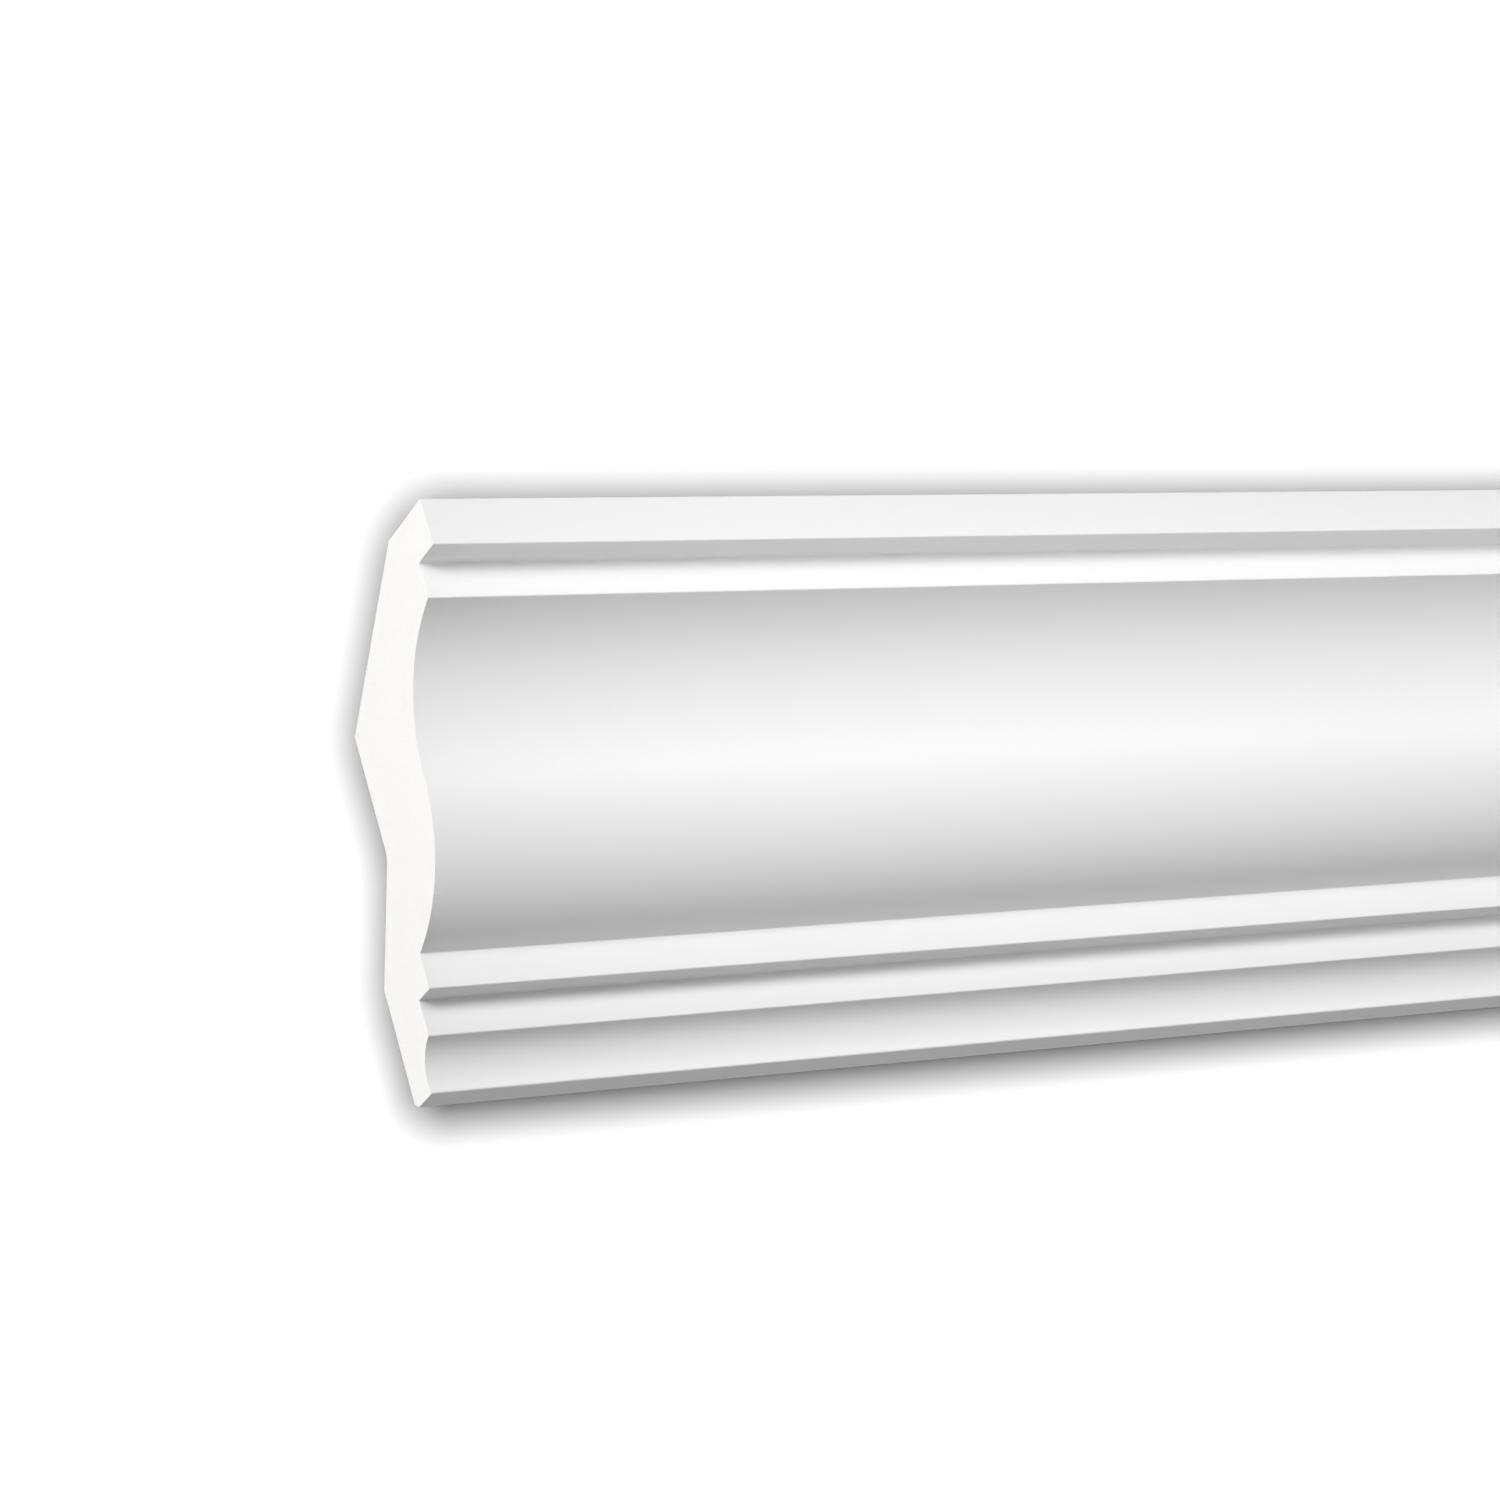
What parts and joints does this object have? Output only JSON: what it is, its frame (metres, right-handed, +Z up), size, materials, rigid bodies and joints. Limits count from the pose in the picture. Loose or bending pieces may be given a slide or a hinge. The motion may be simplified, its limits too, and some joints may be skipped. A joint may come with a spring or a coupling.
{
  "type": "crown moulding length",
  "caption": "Straight length of classical crown moulding for the corner of wall and ceiling: stepped fillets, a broad cyma and a small cove, hollowed back, square-cut ends.",
  "frame": {"origin": "middle of the flat face that lies on the wall, half way along the length", "axes": "+X along the length, to the right of a person who faces the wall; +Y into the wall; +Z up to the ceiling. The moulding projects towards -Y."},
  "size_m": [1, 0.0724, 0.11],
  "materials": {
    "primed_foam": "hard white foam with a smooth factory-primed face, matt to the touch and ready for paint; bare foam shows on the sawn ends"
  },
  "bodies": {
    "root": {"crown_moulding": "primed_foam"}
  },
  "joints": []
}
